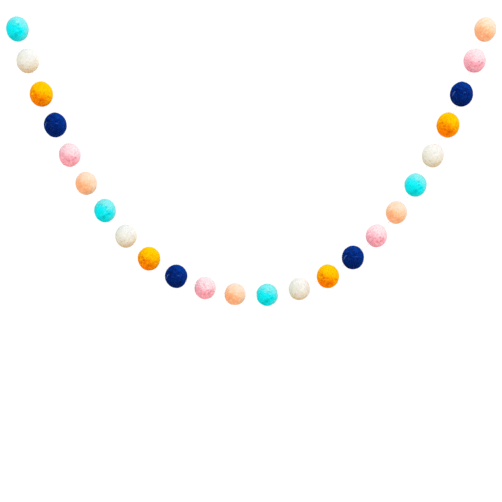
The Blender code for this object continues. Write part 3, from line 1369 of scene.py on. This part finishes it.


# Pale and deep are each dye with painted light and with painted shade; the fleck and lint colours are the
# wool's own.
FELTS = {felt.dye: felt for felt in (
    FeltFinish(Dye.TURQUOISE, pale=(0.185, 0.65, 0.665), body=(0.008, 0.72, 0.77), deep=(0.001, 0.84, 0.90),
               fleck=(0.001, 0.44, 0.49), lint=(0.20, 0.80, 0.82), fibre_contrast=0.6, sheen=0.02),
    FeltFinish(Dye.IVORY, pale=(0.690, 0.690, 0.675), body=(0.775, 0.775, 0.665), deep=(0.70, 0.565, 0.36),
               fleck=(0.60, 0.48, 0.32), lint=(0.80, 0.80, 0.75), patchiness=0.65, fleck_amount=0.2),
    FeltFinish(Dye.GOLDEN, pale=(0.85, 0.475, 0.001), body=(0.85, 0.35, 0.001), deep=(0.96, 0.206, 0.001),
               fleck=(0.48, 0.05, 0.001), lint=(0.85, 0.52, 0.02), patchiness=1.3, fibre_contrast=0.55),
    FeltFinish(Dye.NAVY, pale=(0.0015, 0.0307, 0.232), body=(0.001, 0.0194, 0.169),
               deep=(0.001, 0.0103, 0.106), fleck=(0.001, 0.005, 0.055), lint=(0.20, 0.33, 0.50),
               patchiness=1.3, fibre_contrast=1.0, sheen=0.0),
    FeltFinish(Dye.PINK, pale=(0.84, 0.614, 0.642), body=(0.85, 0.476, 0.55), deep=(0.96, 0.366, 0.442),
               fleck=(0.60, 0.18, 0.24), lint=(0.84, 0.66, 0.70), patchiness=1.3, fleck_amount=0.9,
               fibre_contrast=0.65),
    FeltFinish(Dye.PEACH, pale=(0.84, 0.604, 0.484), body=(0.85, 0.55, 0.32), deep=(0.97, 0.442, 0.216),
               fleck=(0.84, 0.31, 0.11), lint=(0.84, 0.66, 0.50), patchiness=1.2, fleck_amount=0.7),
)}
# Each pattern paints light and shade over its balls by its way and base; its paler and deeper locks are partly
# wool patches and partly painted light and shade.
PATTERNS = {
    Dye.TURQUOISE: WoolPattern(
        (0.27, 0.65, 0.50), 1.0,
        (*locks(Tint.DEEPER, (-0.45, 0.0, 0.22, 10, 8), (0.42, -0.30, 0.35, 6, 6)),
         *locks(Tint.PALER, (0.15, 0.55, 0.4, 6, 5), (-0.12, 0.27, 0.2, 4, 3), (0.64, -0.60, 0.15, 6, 3, 30)),
         *locks(Tint.DARK, (-0.07, -0.57, 0.9, 5, 4, 30), (-0.38, -0.76, 0.6, 7, 3.5, -20),
                (0.40, -0.28, 0.9, 3.6, 2.4, 20), (0.20, 0.26, 0.9), (0.18, -0.38, 0.7), (0.22, -0.05, 0.6),
                (-0.30, 0.50, 0.35), (-0.55, 0.50, 0.3)),
         *locks(Tint.LIGHT, (0.18, -0.21, 0.7), (0.13, 0.50, 0.6), (0.45, -0.46, 0.8), (-0.30, -0.35, 0.7),
                (0.34, 0.14, 0.4), (0.62, 0.20, 0.3)))),
    Dye.IVORY: WoolPattern(
        (0.04, -0.40, 0.55), 0.36,
        (*locks(Tint.DEEPER, (-0.50, 0.32, 0.2, 8, 7), (0.05, 0.60, 0.15, 8, 4)),
         *locks(Tint.PALER, (0.70, 0.02, 0.3, 5, 5)),
         *locks(Tint.DARK, (0.10, -0.75, 0.18, 8, 4), (0.44, -0.52, 0.38, 7, 5), (0.76, -0.18, 0.36, 6, 8),
                (-0.36, -0.46, 0.8), (-0.10, -0.34, 0.3), (0.36, -0.25, 0.4), (0.22, 0.17, 0.2)),
         *locks(Tint.LIGHT, (-0.27, -0.29, 0.8), (-0.45, -0.04, 0.5), (0.36, -0.04, 0.5),
                (-0.04, -0.04, 0.4)))),
    Dye.GOLDEN: WoolPattern(
        (0.31, 0.21, 0.69), 0.69,
        (*locks(Tint.PALER, (0.15, 0.22, 0.17, 12, 6)),
         *locks(Tint.DEEPER, (-0.38, -0.06, 0.12, 6, 5), (0.45, -0.45, 0.16, 7, 4, 20),
                (-0.25, -0.14, 0.2, 5, 2.4, -10)),
         *locks(Tint.DARK, (0.70, -0.28, 0.5, 4, 1.6, -40), (0.08, -0.54, 0.55, 7, 4), (-0.41, -0.13, 1.0),
                (-0.54, 0.13, 0.9), (0.0, -0.59, 1.0), (-0.12, -0.75, 0.7), (-0.09, -0.13, 0.4),
                (-0.36, -0.38, 0.6), (-0.58, -0.33, 0.5)),
         *locks(Tint.LIGHT, (-0.13, -0.29, 0.6), (-0.47, -0.22, 0.5), (-0.67, -0.04, 0.6), (-0.36, 0.21, 0.3),
                (-0.45, 0.38, 0.5), (0.58, -0.38, 0.4)))),
    Dye.NAVY: WoolPattern(
        (0.24, 0.43, 0.32), 0.71,
        (*locks(Tint.PALER, (0.25, 0.60, 0.5, 8, 3, -37), (-0.72, 0.02, 0.4, 4, 2.5, 70)),
         *locks(Tint.DEEPER, (-0.20, 0.65, 0.35, 5, 4)),
         *locks(Tint.DARK, (-0.49, 0.30, 1.0, 4, 3), (0.40, -0.50, 0.55, 6, 3, 20), (0.10, -0.74, 0.4, 7, 4),
                (-0.57, 0.0, 0.8), (0.0, 0.50, 0.7), (0.18, 0.22, 0.8), (0.58, -0.08, 0.6),
                (0.40, 0.36, 0.45)),
         *locks(Tint.LIGHT, (0.22, 0.06, 1.0, 4, 1.6), (0.31, 0.55, 1.0), (-0.49, 0.50, 0.7),
                (-0.13, 0.34, 0.8), (-0.05, -0.42, 0.3))),
        (Lint(((-0.84, -0.24), (-0.80, -0.05), (-0.74, 0.08), (-0.66, 0.16), (-0.57, 0.19)), 0.14 * MM),
         Lint(((0.10, 0.06), (0.22, 0.08), (0.34, 0.05)), 0.05 * MM, 0.06 * MM))),
    Dye.PINK: WoolPattern(
        (0.24, 0.0, 0.67), 0.54,
        (*locks(Tint.PALER, (0.0, 0.22, 0.28, 9, 6), (0.0, -0.78, 0.28, 8, 3)),
         *locks(Tint.DEEPER, (-0.62, -0.02, 0.22, 5, 3.5), (0.10, -0.42, 0.3, 8, 4)),
         *locks(Tint.DARK, (0.58, -0.28, 1.0, 3, 2.2, 30), (0.39, -0.44, 1.0, 3.6, 2, 35), (0.31, -0.17, 0.8),
                (0.03, -0.54, 0.8), (-0.36, 0.65, 0.2), (-0.52, -0.50, 0.2), (-0.36, -0.21, 0.5),
                (-0.58, -0.13, 0.4)),
         *locks(Tint.LIGHT, (-0.27, -0.04, 0.7), (-0.18, -0.67, 0.5), (-0.58, -0.29, 0.5), (0.36, 0.0, 0.6),
                (0.22, -0.34, 0.4)))),
    Dye.PEACH: WoolPattern(
        (0.35, 0.41, 0.61), 0.79,
        (*locks(Tint.PALER, (0.10, 0.33, 0.22, 12, 5), (-0.50, 0.50, 0.12, 5, 4), (-0.15, -0.85, 0.25, 8, 3)),
         *locks(Tint.DEEPER, (-0.52, -0.10, 0.26, 8, 5), (0.25, -0.52, 0.16, 9, 4), (0.52, 0.08, 0.12, 5, 4)),
         *locks(Tint.DARK, (-0.52, -0.32, 0.62, 3.5, 2), (0.15, -0.66, 0.35, 6, 2.5, -10),
                (0.08, -0.19, 0.28, 7, 1.4, -8), (0.13, -0.17, 0.4), (-0.12, -0.50, 0.5), (-0.58, 0.04, 0.3),
                (0.58, 0.08, 0.3)),
         *locks(Tint.LIGHT, (0.04, -0.38, 0.7), (-0.36, -0.59, 0.5), (-0.31, 0.25, 0.4), (0.13, 0.0, 0.5),
                (0.49, -0.17, 0.3)))),
}


@dataclass(frozen=True)
class Studio:
    """White surroundings, one large soft lamp above right, and a warm floor that lights the undersides."""

    lens: float = 135.0
    sensor: float = 36.0
    clip_end: float = 50.0
    photo_middle: Pair = (-0.47 * MM, -300.3 * MM)
    sky: float = 1.07
    lamp_place: Triple = (1.1, -1.25, 1.55)
    lamp_size: float = 1.4
    lamp_power: float = 26.0
    floor_height: float = -1.0
    floor_thickness: float = 0.01
    floor_radius: float = 2.9
    floor_rings: int = 24
    floor_corners: int = 96
    floor_solid: float = 0.9
    floor_rim: float = 0.97
    floor_colour: Colour = (0.80, 0.69, 0.62)
    floor_tones: Pair = (0.99, 1.01)
    floor_grain: Grain = Grain(6.0, 4.0)
    floor_roughness: float = 0.9

    def add_camera(self) -> None:
        """A long lens square to the swag, at the distance where the photograph's width fits the frame."""
        camera = bpy.data.objects.new("camera", bpy.data.cameras.new("camera"))
        camera.data.lens = self.lens
        camera.data.sensor_width = self.sensor
        camera.data.clip_end = self.clip_end
        distance = PHOTO_PIXELS * PIXEL * self.lens / self.sensor
        camera.location = (self.photo_middle[0], -distance, self.photo_middle[1])
        camera.rotation_euler = (math.pi / 2, 0.0, 0.0)
        bpy.context.scene.collection.objects.link(camera)
        bpy.context.scene.camera = camera

    def add_surroundings(self) -> None:
        """Plain white light from all round."""
        world = bpy.data.worlds.new("white_studio")
        world.use_nodes = True
        background = world.node_tree.nodes["Background"]
        background.inputs["Color"].default_value = (1.0, 1.0, 1.0, 1.0)
        background.inputs["Strength"].default_value = self.sky
        bpy.context.scene.world = world

    def add_lamp(self) -> None:
        """A large soft lamp above, to the right and in front, aimed at the middle of the swag."""
        light = bpy.data.lights.new("soft_lamp", "AREA")
        light.shape = "DISK"
        light.size = self.lamp_size
        light.energy = self.lamp_power
        lamp = bpy.data.objects.new("soft_lamp", light)
        lamp.location = self.lamp_place
        x, y, z = self.lamp_place
        down = z - self.photo_middle[1]
        lamp.rotation_euler = (math.atan2(math.hypot(x, y), down), 0.0, math.atan2(x, -y))
        lamp.visible_camera = False
        bpy.context.scene.collection.objects.link(lamp)

    def floor_material(self) -> bpy.types.Material:
        """Pale warm paint with a faint grain, which fades out from the solid part to the floor's rim.

        Formula: the alpha is eased down over the distance sqrt(x^2 + y^2) from the origin.

        Returns:
            The material.
        """
        material, bench = new_material("pale_floor")
        place = bench.node("ShaderNodeTexCoord").outputs["Object"]
        x, y, _ = bench.node("ShaderNodeSeparateXYZ", {0: place}).outputs
        square = bench.math("ADD", bench.math("MULTIPLY", x, x), bench.math("MULTIPLY", y, y))
        shown = bench.ramp(bench.math("SQRT", square), self.floor_solid, self.floor_radius * self.floor_rim,
                           1.0, 0.0)
        dark, light = (opaque(tuple(part * tone for part in self.floor_colour)) for tone in self.floor_tones)
        colour = bench.mix(bench.noise(place, self.floor_grain), dark, light)
        bench.shade({"Base Color": colour, "Alpha": shown, "Roughness": self.floor_roughness,
                     "Specular IOR Level": 0.0})
        return material

    def add_floor(self) -> None:
        """A thin disc of floor far below, in rings of corners at radius * (cos angle, sin angle)."""
        angle = corner_angles(self.floor_corners)
        radius = self.floor_radius * np.arange(1, self.floor_rings + 1)[:, None] / self.floor_rings
        height = np.full((self.floor_rings, self.floor_corners), self.floor_height)
        flat = np.stack((radius * np.cos(angle), radius * np.sin(angle), height), axis=-1)
        middle = ALONG_Z[None] * self.floor_height
        mesh = PieceMesh("floor")
        mesh.add_closed(flat[None, ::-1], middle - ALONG_Z * self.floor_thickness, middle)
        floor = mesh.make()
        floor.data.materials.append(self.floor_material())

    def build(self) -> None:
        """Sets up the camera, the light, the floor and a plain view transform."""
        self.add_camera()
        self.add_surroundings()
        self.add_lamp()
        self.add_floor()
        bpy.context.scene.view_settings.view_transform = "Standard"


def report(piece: bpy.types.Object) -> None:
    """Logs a finished piece's name and number of faces."""
    LOG.info("%s: %d faces", piece.name, len(piece.data.polygons))


def main() -> None:
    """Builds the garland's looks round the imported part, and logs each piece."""
    logging.basicConfig(level=logging.INFO, format="%(message)s")
    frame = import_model()
    LOG.info("packed part: %d nodes", len(frame["nodes"]))
    swag = Swag()
    ball_sizes = BallSizes()
    loop_sizes = LoopSizes()
    thread_sizes = ThreadSizes()
    cotton = CottonFinish()
    Studio().build()
    loops = [HangingLoop(side, swag, loop_sizes, thread_sizes).build(cotton) for side in Side]
    thread = CottonThread(swag, loop_sizes, thread_sizes).build(cotton, loops)
    for piece in (*loops, thread):
        report(piece)
    for number in range(1, swag.ball_count + 1):
        ball = FeltBall(number, swag, ball_sizes)
        report(ball.build(FELTS[ball.dye]))


if __name__ == "__main__":
    main()
